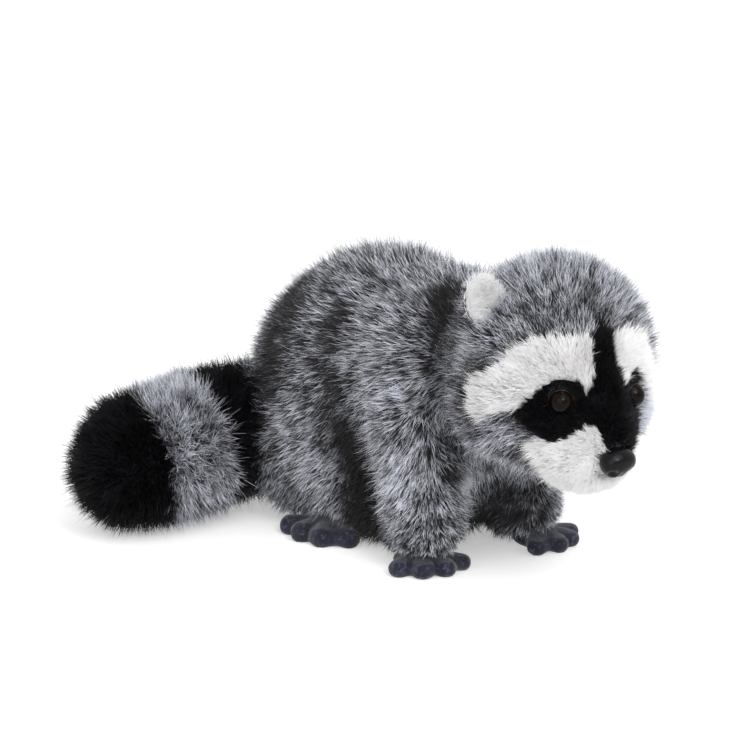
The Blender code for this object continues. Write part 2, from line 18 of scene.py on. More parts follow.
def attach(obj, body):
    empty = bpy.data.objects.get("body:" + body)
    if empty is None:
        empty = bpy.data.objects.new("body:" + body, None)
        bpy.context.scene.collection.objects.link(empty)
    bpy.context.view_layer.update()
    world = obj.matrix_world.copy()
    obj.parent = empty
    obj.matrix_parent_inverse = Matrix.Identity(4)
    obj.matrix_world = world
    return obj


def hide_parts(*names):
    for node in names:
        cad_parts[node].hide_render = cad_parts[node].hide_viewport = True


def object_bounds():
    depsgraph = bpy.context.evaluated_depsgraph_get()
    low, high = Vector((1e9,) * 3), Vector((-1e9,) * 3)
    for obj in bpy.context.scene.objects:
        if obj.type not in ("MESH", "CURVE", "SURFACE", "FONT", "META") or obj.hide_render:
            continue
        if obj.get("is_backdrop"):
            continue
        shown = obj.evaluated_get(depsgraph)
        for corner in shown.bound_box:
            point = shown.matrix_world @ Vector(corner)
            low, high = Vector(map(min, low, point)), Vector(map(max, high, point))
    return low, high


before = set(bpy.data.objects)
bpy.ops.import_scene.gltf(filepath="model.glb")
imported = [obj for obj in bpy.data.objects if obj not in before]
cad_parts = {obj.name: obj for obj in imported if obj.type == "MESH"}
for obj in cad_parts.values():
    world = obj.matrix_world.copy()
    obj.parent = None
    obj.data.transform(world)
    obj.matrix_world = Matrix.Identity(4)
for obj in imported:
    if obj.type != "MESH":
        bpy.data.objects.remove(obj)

LOG = logging.getLogger("raccoon")
MM = 0.001
BODY = "root"
BAKE_MAP = "OFBake"

# How far above the floor a fibre's tip stays, in metres; the backing stays twice as far.
FLOOR_CLEARANCE = 0.6 * MM
# Below this height, in mm, faces that look down carry this much less pile.
BELLY_TOP, BELLY_BARE = 60.0, 0.55
# The animal's middle plane in x, in mm, the middle of its skull, and where its face and tail point.
MIDDLE = 46.582
HEAD_CENTRE = np.array([MIDDLE, -88.873, 118.0]) * MM
FACE_WAY = np.array([-0.1111, -0.7909, -0.6018])
TAIL_WAY = np.array([-1.0, 0.12, -0.05])
# Which way the pile of the forelegs and of the ears runs.
LEG_WAY = np.array([-0.1, 0.4, -1.0])
EAR_WAY = np.array([0.0, 0.1, 1.0])
# From this far in front of the skull's middle, in mm, the face's pile is combed away.
NOSE_AHEAD = 75.0
# Which way the back's pile falls at some heights, in mm: its slope in z for each unit in y.
BACK_HEIGHTS = (20.0, 45.0, 77.0, 95.0, 126.0)
BACK_FALL = (-3.0, -1.7, -1.3, -0.7, 0.0)
# Corners of a CAD node's loose triangles closer than this, in metres, are one point.
SAME_POINT = 1e-6
# How much a touch acts at its reach.
SHARE_AT_REACH = math.exp(-1.0)

Rgb = tuple[float, float, float]


class Signal:
    """A node's output that takes part in Python expressions, which add the Math or Vector Math nodes."""

    def __init__(self, sheet: "NodeSheet", socket: bpy.types.NodeSocket) -> None:
        """Keeps the sheet that new nodes go on and the socket that carries the value."""
        self.sheet = sheet
        self.socket = socket

    def _joined(self, operation: str, first: Any, second: Any) -> "Signal":
        """Adds one node for an operation on two values.

        Args:
            operation: the node's operation.
            first: a signal, a number or a vector.
            second: a signal, a number or a vector.

        Returns:
            The signal of the result.
        """
        vector = any(isinstance(x, Signal) and x.socket.type == "VECTOR" for x in (first, second))
        values: dict[Any, Any] = {}
        for place, value in enumerate((first, second)):
            if vector and isinstance(value, (int, float)):
                value = (value, value, value)
            values[place] = value
        kind = "ShaderNodeVectorMath" if vector else "ShaderNodeMath"
        return self.sheet.add(kind, {"operation": operation}, values)

    def __add__(self, other: Any) -> "Signal":
        """self + other."""
        return self._joined("ADD", self, other)

    def __radd__(self, other: Any) -> "Signal":
        """other + self."""
        return self._joined("ADD", other, self)

    def __sub__(self, other: Any) -> "Signal":
        """self - other."""
        return self._joined("SUBTRACT", self, other)

    def __rsub__(self, other: Any) -> "Signal":
        """other - self."""
        return self._joined("SUBTRACT", other, self)

    def __mul__(self, other: Any) -> "Signal":
        """self * other."""
        return self._joined("MULTIPLY", self, other)

    def __rmul__(self, other: Any) -> "Signal":
        """other * self."""
        return self._joined("MULTIPLY", other, self)

    def at_least(self, other: Any) -> "Signal":
        """The larger of self and other."""
        return self._joined("MAXIMUM", self, other)

    def at_most(self, other: Any) -> "Signal":
        """The smaller of self and other."""
        return self._joined("MINIMUM", self, other)

    def step(self, low: float, high: float) -> "Signal":
        """0 below low, 1 above high, and smooth between them."""
        return self.sheet.add(
            "ShaderNodeMapRange",
            {"interpolation_type": "SMOOTHSTEP"},
            {"Value": self, "From Min": low, "From Max": high},
        )

    def part(self, name: str) -> "Signal":
        """Another output of the same node, by name."""
        return Signal(self.sheet, NodeSheet.socket(self.socket.node.outputs, name))


class NodeSheet:
    """Adds nodes to one shader or geometry tree."""

    def __init__(self, tree: bpy.types.NodeTree) -> None:
        """Keeps the tree."""
        self.tree = tree

    @staticmethod
    def socket(sockets: Iterable[bpy.types.NodeSocket], key: Any) -> bpy.types.NodeSocket:
        """Finds a socket by its place or its name, among those that the node's settings leave on."""
        live = [one for one in sockets if one.enabled]
        if isinstance(key, int):
            return live[key]
        return next(one for one in live if one.name == key)

    def add(
        self, kind: str, settings: dict[str, Any] | None = None, values: dict[Any, Any] | None = None
    ) -> Signal:
        """Adds a node.

        Args:
            kind: the node's type name.
            settings: its properties, set first. "stops" gives a colour ramp's (place, colour) pairs.
            values: what goes into its sockets, by place or name: a signal is linked, the rest are constants.

        Returns:
            The signal of the node's first live output, or of its first input where it has no output.
        """
        node = self.tree.nodes.new(kind)
        for name, value in (settings or {}).items():
            if name == "stops":
                self._set_stops(node.color_ramp, value)
            else:
                setattr(node, name, value)
        for key, value in (values or {}).items():
            target = self.socket(node.inputs, key)
            if isinstance(value, Signal):
                self.tree.links.new(value.socket, target)
            else:
                target.default_value = value
        live = [one for one in node.outputs if one.enabled]
        return Signal(self, live[0] if live else node.inputs[0])

    @staticmethod
    def _set_stops(ramp: bpy.types.ColorRamp, stops: Sequence[tuple[float, Rgb]]) -> None:
        """Writes a colour ramp's stops."""
        while len(ramp.elements) < len(stops):
            ramp.elements.new(1.0)
        for element, (place, colour) in zip(ramp.elements, stops):
            element.position = place
            element.color = (*colour, 1.0)

    def mixed(self, share: Any, first: Any, second: Any) -> Signal:
        """A colour between two: share 0 gives the first and 1 the second."""
        sides = {"A": first, "B": second, "Factor": share}
        for key in ("A", "B"):
            if isinstance(sides[key], tuple):
                sides[key] = (*sides[key], 1.0)
        return self.add("ShaderNodeMix", {"data_type": "RGBA"}, sides)

    def noise(self, place: Signal, scale: float, detail: float = 2.0) -> Signal:
        """Noise from 0 to 1 at a place."""
        return self.add("ShaderNodeTexNoise", None, {"Vector": place, "Scale": scale, "Detail": detail})

    def named(self, name: str, data_type: str = "FLOAT") -> Signal:
        """A named attribute of the geometry."""
        return self.add("GeometryNodeInputNamedAttribute", {"data_type": data_type}, {"Name": name})

    def stored(
        self, geometry: Signal, name: str, value: Any, data_type: str = "FLOAT", domain: str = "POINT"
    ) -> Signal:
        """The geometry with one more named attribute."""
        return self.add(
            "GeometryNodeStoreNamedAttribute",
            {"data_type": data_type, "domain": domain},
            {"Geometry": geometry, "Name": name, "Value": value},
        )

    def chance(self, seed: Any, low: float = 0.0, high: float = 1.0) -> Signal:
        """A number for each point, drawn evenly between two."""
        return self.add("FunctionNodeRandomValue", {"data_type": "FLOAT"},
                        {"Min": low, "Max": high, "Seed": seed})

    def scattered(self, surface: Signal, density: Signal, seed: Signal) -> Signal:
        """Points strewn over a surface."""
        return self.add("GeometryNodeDistributePointsOnFaces", {"distribute_method": "RANDOM"},
                        {"Mesh": surface, "Density": density, "Seed": seed})

    def sampled(self, points: Signal, value: Signal, index: Signal, data_type: str) -> Signal:
        """A value of another cloud's point, by its index."""
        return self.add("GeometryNodeSampleIndex", {"data_type": data_type, "domain": "POINT"},
                        {"Geometry": points, "Value": value, "Index": index})

    def combined(self, x: Any, y: Any, z: Any = 0.0) -> Signal:
        """A vector of three numbers."""
        return self.add("ShaderNodeCombineXYZ", None, {"X": x, "Y": y, "Z": z})


def new_material(name: str) -> tuple[bpy.types.Material, NodeSheet, bpy.types.Node]:
    """Starts a material with one Principled shader.

    Args:
        name: the material's name.

    Returns:
        The material, its sheet and the shader node.
    """
    material = bpy.data.materials.new(name)
    material.use_nodes = True
    tree = material.node_tree
    tree.nodes.clear()
    shader = tree.nodes.new("ShaderNodeBsdfPrincipled")
    output = tree.nodes.new("ShaderNodeOutputMaterial")
    tree.links.new(shader.outputs[0], output.inputs["Surface"])
    return material, NodeSheet(tree), shader


def feed(sheet: NodeSheet, shader: bpy.types.Node, values: dict[str, Any]) -> None:
    """Sets or links a shader's sockets.

    Args:
        sheet: the sheet that the shader is on.
        shader: the shader node.
        values: signals and constants by socket name.
    """
    for key, value in values.items():
        if isinstance(value, Signal):
            sheet.tree.links.new(value.socket, shader.inputs[key])
        else:
            shader.inputs[key].default_value = value


@dataclass(frozen=True)
class PileFinish:
    """Fibres whose colour runs from root to tip; the bake map holds (tone, place along the fibre)."""

    name: str
    stops: tuple[tuple[float, Rgb], ...]
    spread: float
    stain: Rgb
    stain_share: float = 0.0
    roughness: float = 0.62
    sheen: float = 0.2
    gloss: float = 0.35

    def material(self) -> bpy.types.Material:
        """Builds the fibre material.

        Returns:
            The material, whose colour depends on the bake map alone.
        """
        material, sheet, shader = new_material(self.name)
        place = sheet.add("ShaderNodeUVMap", {"uv_map": BAKE_MAP})
        across = sheet.add("ShaderNodeSeparateXYZ", None, {0: place})
        tone, along = across.part("X"), across.part("Y")
        lifted = along + (tone - 0.5) * self.spread
        colour = sheet.add("ShaderNodeValToRGB", {"stops": self.stops}, {0: lifted})
        if self.stain_share > 0.0:
            speck = sheet.noise(place, 23.0, 3.0).step(0.45, 0.7)
            colour = sheet.mixed(speck * self.stain_share, colour, self.stain)
        feed(sheet, shader, {
            "Base Color": colour, "Roughness": self.roughness,
            "Sheen Weight": self.sheen, "Sheen Roughness": 0.5, "Specular IOR Level": self.gloss,
        })
        return material


@dataclass(frozen=True)
class HideFinish:
    """The knitted backing that a pile stands on, seen between its fibres."""

    name: str
    deep: Rgb
    lit: Rgb
    roughness: float = 0.95

    def material(self) -> bpy.types.Material:
        """Builds the backing material.

        Returns:
            A dull cloth with a fine knit and soft patches.
        """
        material, sheet, shader = new_material(self.name)
        place = sheet.add("ShaderNodeTexCoord").part("Object")
        patches = sheet.noise(place, 90.0, 3.0)
        knit = sheet.add("ShaderNodeTexVoronoi", None, {"Vector": place, "Scale": 900.0})
        colour = sheet.mixed(patches.step(0.35, 0.7), self.deep, self.lit)
        bump = sheet.add("ShaderNodeBump", None, {"Height": knit, "Distance": 0.0004, "Strength": 0.5})
        feed(sheet, shader, {"Base Color": colour, "Roughness": self.roughness, "Normal": bump,
                             "Specular IOR Level": 0.2})
        return material


@dataclass(frozen=True)
class SuedeFinish:
    """Brushed suede cloth: a slate nap with paler scuffs, partly wear and partly painted sheen on its ridges,
    and painted shade in its folds.
    """

    name: str = "slate_suede"
    deep: Rgb = (0.010, 0.011, 0.020)
    nap: Rgb = (0.022, 0.024, 0.040)
    scuff_and_sheen: Rgb = (0.060, 0.065, 0.105)
    fold_shade: Rgb = (0.004, 0.004, 0.007)

    def material(self) -> bpy.types.Material:
        """Builds the suede material.

        Returns:
            The material, on Object coordinates and the paw's "crease" attribute.
        """
        material, sheet, shader = new_material(self.name)
        place = sheet.add("ShaderNodeTexCoord").part("Object")
        nap = sheet.noise(place, 160.0, 4.0)
        rubbed = sheet.noise(place, 420.0, 5.0)
        fibres = sheet.noise(place, 2600.0, 2.0)
        creases = sheet.add("ShaderNodeTexVoronoi", {"feature": "DISTANCE_TO_EDGE"},
                            {"Vector": place, "Scale": 210.0})
        colour = sheet.mixed(nap.step(0.35, 0.65), self.deep, self.nap)
        # The paw's "crease" measure paints shade into the hollows; the paler scuffs, part wear and part painted
        # sheen, fall on the ridges.
        fold_shade = sheet.add("ShaderNodeAttribute", {"attribute_name": "crease"}).part("Fac")
        worn_and_sheen = (rubbed.step(0.5, 0.7) * (0.5 - fold_shade)).at_least(0.0)
        colour = sheet.mixed(worn_and_sheen.at_most(0.8), colour, self.scuff_and_sheen)
        colour = sheet.mixed(fold_shade.step(0.1, 0.7) * 0.85, colour, self.fold_shade)
        height = fibres * 0.35 + rubbed * 0.5 + creases.step(0.0, 0.06) * 0.35
        bump = sheet.add("ShaderNodeBump", None, {"Height": height, "Distance": 0.0005, "Strength": 0.55})
        feed(sheet, shader, {"Base Color": colour, "Roughness": 0.86, "Normal": bump, "Sheen Weight": 0.35,
                             "Sheen Roughness": 0.45, "Specular IOR Level": 0.25})
        return material


@dataclass(frozen=True)
class GlossFinish:
    """A smooth moulded plastic, for the eyes and the nose."""

    name: str
    colour: Rgb
    warm: Rgb
    roughness: float
    coat: float
    grain: float
    shine: float = 0.3

    def material(self) -> bpy.types.Material:
        """Builds the plastic.

        Returns:
            The material, with a faint mottle and a fine uneven skin.
        """
        material, sheet, shader = new_material(self.name)
        place = sheet.add("ShaderNodeTexCoord").part("Object")
        mottle = sheet.noise(place, 350.0, 3.0)
        skin = sheet.noise(place, 1100.0, 2.0)
        bump = sheet.add("ShaderNodeBump", None,
                         {"Height": skin, "Distance": 0.0002, "Strength": self.grain})
        feed(sheet, shader, {
            "Base Color": sheet.mixed(mottle.step(0.4, 0.75), self.colour, self.warm),
            "Roughness": mottle * 0.08 + self.roughness, "Normal": bump,
            "Coat Weight": self.coat, "Coat Roughness": 0.05, "Specular IOR Level": self.shine,
        })
        return material


# Each pile grows darker towards its roots, partly the fibres' own colour and partly painted shade deep in the
# pile; the white pile's grey roots are painted shade.
GREY_PILE = PileFinish(
    "grey_fur",
    ((0.0, (0.006, 0.006, 0.007)), (0.52, (0.014, 0.014, 0.016)), (0.68, (0.10, 0.101, 0.114)),
     (0.83, (0.51, 0.525, 0.585)), (1.0, (0.85, 0.87, 0.95))),
    0.95, (0.05, 0.045, 0.045), 0.2)
LIGHT_PILE = PileFinish(
    "light_fur",
    ((0.0, (0.008, 0.008, 0.011)), (0.40, (0.03, 0.03, 0.040)), (0.61, (0.36, 0.365, 0.42)),
     (1.0, (0.90, 0.92, 0.99))),
    1.25, (0.10, 0.10, 0.13), 0.25)
BLACK_PILE = PileFinish(
    "black_fur",
    ((0.0, (0.002, 0.002, 0.0025)), (0.6, (0.004, 0.004, 0.005)), (0.9, (0.009, 0.009, 0.011)),
     (1.0, (0.035, 0.035, 0.042))),
    0.5, (0.01, 0.01, 0.012), 0.2, 0.5, 0.0, 0.25)
WHITE_PILE = PileFinish(
    "white_pile",
    ((0.0, (0.52, 0.51, 0.515)), (0.22, (0.79, 0.78, 0.785)), (0.5, (0.93, 0.925, 0.93)),
     (1.0, (0.95, 0.95, 0.955))),
    0.7, (0.87, 0.845, 0.82), 0.15, 0.7, 0.1)
DARK_HIDE = HideFinish("dark_backing", (0.006, 0.006, 0.008), (0.018, 0.018, 0.022))
PALE_HIDE = HideFinish("pale_backing", (0.84, 0.83, 0.83), (0.92, 0.915, 0.915))
GREY_HIDE = HideFinish("grey_backing", (0.010, 0.010, 0.013), (0.025, 0.025, 0.032))
SUEDE = SuedeFinish()
EYE_GLASS = GlossFinish("eye_gloss", (0.003, 0.002, 0.0015), (0.008, 0.0045, 0.003), 0.03, 0.0, 0.02, 0.08)
EYE_RIM = GlossFinish("eye_rim", (0.016, 0.006, 0.004), (0.045, 0.016, 0.010), 0.2, 0.3, 0.1)
NOSE_PLASTIC = GlossFinish("nose_gloss", (0.003, 0.003, 0.004), (0.006, 0.006, 0.008), 0.14, 0.0, 0.4, 0.14)


class Lay(Enum):
    """Which way a pile is combed: see Hide.combed."""

    BACK = "back"
    DOWN = "down"
    FROM_NOSE = "from nose"
    TAILWARD = "tailward"
    UPWARD = "upward"


@dataclass(frozen=True)
class Zone:
    """A stretch of coat.

    length, depth, width and lock are in mm: the fibres' length, how deep their backing lies, their width
    and the distance between locks. density is in fibres on a square mm. lean combs the fibres, pull gathers
    them into locks and spread sends them astray. fill is not used.
    """

    pile: PileFinish
    hide: HideFinish
    slot: str
    length: float
    depth: float
    width: float
    density: float
    lay: Lay
    lean: float
    lock: float = 4.0
    pull: float = 0.55
    spread: float = 0.22
    fill: float = 0.8


BODY_ZONE = Zone(GREY_PILE, DARK_HIDE, "grey_fur", 11.5, 7.8, 0.80, 1.10, Lay.BACK, 0.85, 2.3, 0.6, 0.45)
LEG_ZONE = Zone(GREY_PILE, DARK_HIDE, "grey_fur", 10.0, 6.4, 0.74, 1.7, Lay.DOWN, 0.95, 2.3, 0.6, 0.42)
HAUNCH_ZONE = Zone(GREY_PILE, DARK_HIDE, "grey_fur", 11.0, 7.4, 0.78, 1.45, Lay.BACK, 0.85, 2.3, 0.6, 0.45)
HEAD_ZONE = Zone(
    GREY_PILE, DARK_HIDE, "grey_fur", 10.5, 7.2, 0.66, 2.1, Lay.FROM_NOSE, 0.6, 2.2, 0.6, 0.4)
BROW_ZONE = Zone(WHITE_PILE, PALE_HIDE, "white_pile", 5.2, 3.6, 0.50, 4.7, Lay.FROM_NOSE, 0.8, 1.8, 0.3)
MUZZLE_ZONE = Zone(WHITE_PILE, PALE_HIDE, "white_pile", 4.2, 3.0, 0.46, 5.4, Lay.FROM_NOSE, 0.8, 1.6, 0.25)
MASK_ZONE = Zone(BLACK_PILE, DARK_HIDE, "black_pile", 4.4, 3.2, 0.48, 4.8, Lay.FROM_NOSE, 0.6, 1.8, 0.3)
TAIL_DARK = Zone(
    BLACK_PILE, DARK_HIDE, "black_pile", 13.0, 9.2, 0.78, 1.6, Lay.TAILWARD, 0.25, 2.6, 0.6, 0.4)
TAIL_LIGHT = Zone(
    LIGHT_PILE, GREY_HIDE, "light_fur", 13.0, 9.0, 0.76, 2.1, Lay.TAILWARD, 0.1, 3.1, 0.7, 0.42)
EAR_FRONT = Zone(WHITE_PILE, PALE_HIDE, "white_pile", 8.0, 2.6, 0.5, 6.5, Lay.UPWARD, 0.5, 2.6, 0.6, 0.6)
EAR_BACK = Zone(LIGHT_PILE, GREY_HIDE, "grey_fur", 4.5, 2.2, 0.5, 4.0, Lay.UPWARD, 0.7, 2.4)

COAT = {
    "body": BODY_ZONE, "head": HEAD_ZONE, "foreleg_right": LEG_ZONE, "foreleg_left": LEG_ZONE,
    "haunch_right": HAUNCH_ZONE, "haunch_left": HAUNCH_ZONE, "brow_right": BROW_ZONE,
    "brow_left": BROW_ZONE, "mask": MASK_ZONE, "muzzle": MUZZLE_ZONE, "tail_base": TAIL_DARK,
    "tail_ring": TAIL_LIGHT, "tail_tip": TAIL_DARK,
}


@dataclass(frozen=True)
class Touch:
    """A place or a line, in mm, where the coat differs, out to its reach.

    press sinks the backing, in mm, and shade makes the pile lighter; below zero they do the opposite. The
    touches' darkening is painted shade, and some of their lightening is painted light.
    shorten and comb are shares by which the fibres get shorter and lie flatter.
    """

    points: tuple[tuple[float, float, float], ...]
    reach: float
    press: float
    shade: float
    both_sides: bool = False
    shorten: float = 0.0
    comb: float = 0.0

    def _away(self, spots: np.ndarray, points: np.ndarray) -> np.ndarray:
        """How far some spots are from a line through points, in mm."""
        if len(points) == 1:
            return np.linalg.norm(spots - points[0], axis=1)
        nearest = np.full(len(spots), np.inf)
        for start, end in zip(points, points[1:]):
            span = end - start
            along = np.clip((spots - start) @ span / (span @ span), 0.0, 1.0)
            nearest = np.minimum(nearest, np.linalg.norm(spots - start - along[:, None] * span, axis=1))
        return nearest

    def share(self, spots: np.ndarray) -> np.ndarray:
        """How much the touch acts on some spots.

        Args:
            spots: places in metres, one on each row.

        Returns:
            1 on the line, fading to 0 over the reach.
        """
        spots, points = spots / MM, np.array(self.points)
        away = self._away(spots, points)
        if self.both_sides:
            mirrored = points * (-1.0, 1.0, 1.0) + (2.0 * MIDDLE, 0.0, 0.0)
            away = np.minimum(away, self._away(spots, mirrored))
        return np.exp(-((away / self.reach) ** 2))


TOUCHES = (
    # Painted shade along the line behind the shoulder, and deeper painted shade in the fold below it; both are
    # also pressed in.
    Touch(((4.2, 29.8, 125.9), (-5.3, 28.5, 99.7), (-5.7, 23.5, 83.2), (-4.9, 17.3, 65.2)),
          5.5, 1.5, -0.28, True),
    Touch(((-4.9, 14.0, 62.0), (-2.4, 6.1, 50.0), (2.2, 4.3, 33.0), (5.9, 3.1, 16.2)), 9.5, 4.0, -1.0, True),
    # The neck, the throat and the front of the shoulder: painted shade in the recess between the head and the
    # body, behind the ear and the cheek, and along the front edge of the shoulder; the pile under the throat is
    # lighter.
    Touch(((25.0, -33.0, 141.0), (20.0, -40.0, 129.0)), 9.0, 1.0, -0.5, True),
    Touch(((7.0, -66.0, 118.0), (1.3, -64.1, 95.0), (8.0, -68.0, 80.0)), 13.0, 0.0, -0.36, True),
    Touch(((14.0, -60.0, 148.0), (5.0, -66.0, 130.0)), 9.5, 0.0, -0.5, True),
    Touch(((18.0, -107.0, 68.0),), 11.0, 0.0, 0.16, True),
    Touch(((14.0, -41.0, 118.0), (5.0, -58.0, 91.0)), 6.0, 0.5, -0.12, True),
    Touch(((15.0, -52.0, 74.0), (18.0, -50.0, 56.0)), 6.5, 0.5, -0.35, True),
    # Painted shade over the rear of the hip, where it turns away from the light; the backing is also pressed
    # in.
    Touch(((19.7, 88.0, 131.5), (-0.4, 78.0, 118.8), (-8.0, 80.0, 100.1), (-8.0, 84.0, 77.3),
           (-4.0, 84.0, 50.0)), 20.0, 2.5, -0.42, True),
    # Painted shade on the belly between the legs, whose backing also stands out far, and on the inside of the
    # far foreleg; the chest and the far shoulder are lighter.
    Touch(((13.0, -6.0, 12.0), (46.6, 0.0, 14.0)), 18.0, -14.0, -0.8, True),
    Touch(((7.0, -2.0, 8.0),), 13.0, -9.0, -0.6, True),
    Touch(((58.0, -46.0, 28.0), (56.9, -29.2, 26.9)), 16.0, 0.0, -0.3),
    Touch(((29.0, -50.0, 50.0), (38.0, -48.0, 42.0)), 11.0, -1.5, 0.38),
    Touch(((70.0, -44.0, 46.0), (80.0, -46.0, 42.0)), 12.0, 0.0, 0.2),
    # The wrist, the foreleg, the shoulder and the haunch are lighter, the foreleg with a painted highlight on
    # its skirt; the wrist's pile is also shorter, the shoulder's front lies flatter and the top of the back
    # stands out.
    Touch(((4.0, -38.0, 12.0),), 22.0, -4.0, 0.14, True, 0.62),
    Touch(((-9.0, -36.0, 46.0), (1.0, -52.0, 44.0)), 9.0, -1.5, 0.15, True),
    Touch(((-1.0, -11.4, 95.8), (5.8, -2.1, 123.9)), 15.0, -0.6, 0.1, True),
    Touch(((-3.7, -33.9, 90.0), (-1.0, -40.0, 82.0), (-8.1, -38.3, 57.2)), 15.0, 0.5, 0.2, True, 0.0, 0.9),
    Touch(((-14.5, 57.7, 68.8), (-12.0, 34.6, 35.9)), 13.0, -0.4, 0.12, True),
    Touch(((19.6, 42.4, 146.4), (36.9, 25.0, 151.4)), 26.0, -2.0, 0.0, True),
    # The head: the tuft at the ear stands out, the whole head and the near cheek are lighter, the far cheek has
    # a pale fringe, and painted shade lies behind the near cheek and under the jaw.
    Touch(((4.0, -92.0, 134.0),), 7.5, -6.0, 0.05),
    Touch(((46.6, -88.9, 130.0),), 80.0, 0.0, 0.09),
    Touch(((-0.2, -104.2, 90.4), (3.8, -106.9, 85.5)), 12.0, -0.5, 0.16),
    Touch(((85.0, -110.0, 98.0), (68.0, -129.0, 95.0)), 11.0, -1.0, 0.42),
    Touch(((-5.0, -94.0, 104.0),), 13.0, 0.0, -0.6),
    Touch(((12.0, -112.0, 74.0), (38.0, -128.0, 60.0)), 14.0, 0.0, -0.25),
)
# The ears' own skins carry painted shade at their roots.
EAR_TOUCHES = (
    Touch(((7.0, -87.0, 135.0),), 10.0, 0.0, -0.55), Touch(((83.0, -77.0, 132.0),), 10.0, 0.0, -0.55),
)
EARS = {side: {f"ear_front_{side}": EAR_FRONT, f"ear_back_{side}": EAR_BACK} for side in ("right", "left")}


def mesh_arrays(mesh: bpy.types.Mesh) -> tuple[np.ndarray, np.ndarray]:
    """A mesh's points and its triangles, as arrays."""
    mesh.calc_loop_triangles()
    points = np.empty(len(mesh.vertices) * 3)
    mesh.vertices.foreach_get("co", points)
    corners = np.empty(len(mesh.loop_triangles) * 3, np.int64)
    mesh.loop_triangles.foreach_get("vertices", corners)
    return points.reshape(-1, 3), corners.reshape(-1, 3)


def new_piece(name: str, mesh: bpy.types.Mesh) -> bpy.types.Object:
    """Puts a mesh into the scene as an object at the origin."""
    piece = bpy.data.objects.new(name, mesh)
    bpy.context.scene.collection.objects.link(piece)
    return piece


def baked(piece: bpy.types.Object) -> bpy.types.Mesh:
    """The object's evaluated mesh as a plain mesh of its own."""
    graph = bpy.context.evaluated_depsgraph_get()
    return bpy.data.meshes.new_from_object(piece.evaluated_get(graph), depsgraph=graph)


def fill_map(mesh: bpy.types.Mesh) -> None:
    """Stretches the bake map's first axis over nearly its whole range."""
    layer = mesh.uv_layers[BAKE_MAP].data
    places = np.empty(len(layer) * 2, np.float32)
    layer.foreach_get("uv", places)
    across = places[0::2]
    places[0::2] = 0.01 + 0.98 * (across - across.min()) / (across.max() - across.min())
    layer.foreach_set("uv", places)


def unit(vectors: np.ndarray) -> np.ndarray:
    """The vectors at length 1."""
    return vectors / np.maximum(np.linalg.norm(vectors, axis=-1, keepdims=True), 1e-9)


def welded(name: str, points: np.ndarray, faces: np.ndarray) -> bpy.types.Mesh:
    """A mesh of points and triangles, with its doubles merged."""
    mesh = bpy.data.meshes.new(name)
    mesh.from_pydata(points.tolist(), [], faces.tolist())
    shell = bmesh.new()
    shell.from_mesh(mesh)
    bmesh.ops.remove_doubles(shell, verts=shell.verts, dist=SAME_POINT)
    shell.to_mesh(mesh)
    shell.free()
    return mesh


def modified(mesh: bpy.types.Mesh, kind: str, settings: dict[str, Any]) -> bpy.types.Mesh:
    """What one modifier makes of a mesh.

    Args:
        mesh: the mesh, which stays as it is.
        kind: the modifier's type.
        settings: its properties by name.

    Returns:
        The result as a plain mesh.
    """
    piece = new_piece(mesh.name, mesh)
    modifier = piece.modifiers.new("shape", kind)
    for name, value in settings.items():
        setattr(modifier, name, value)
    result = baked(piece)
    bpy.data.objects.remove(piece)
    return result


def remeshed(nodes: Iterable[str], voxel: float, name: str) -> bpy.types.Mesh:
    """One even skin round several CAD nodes.

    Args:
        nodes: the CAD nodes' names.
        voxel: the skin's cell, in metres.
        name: the new mesh's name.

    Returns:
        A closed mesh of quads round all of them.
    """
    points, faces, count = [], [], 0
    for node in nodes:
        co, triangles = mesh_arrays(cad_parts[node].data)
        points.append(co)
        faces.append(triangles + count)
        count += len(co)
    joined = welded(name, np.concatenate(points), np.concatenate(faces))
    return modified(joined, "REMESH", {"mode": "VOXEL", "voxel_size": voxel})


@dataclass(frozen=True)
class Trim:
    """Moves a seam of the coat: one zone's skin round some places, in mm, goes to its neighbour."""

    node: str
    heir: str
    points: tuple[tuple[float, float, float], ...]
    reach: float


TRIMS = (
    Trim("mask", "head", ((73.0, -127.0, 100.0), (71.0, -127.0, 88.0)), 8.5),
    Trim("muzzle", "mask", ((49.7, -143.5, 85.5), (53.5, -140.3, 87.5)), 7.0),
)


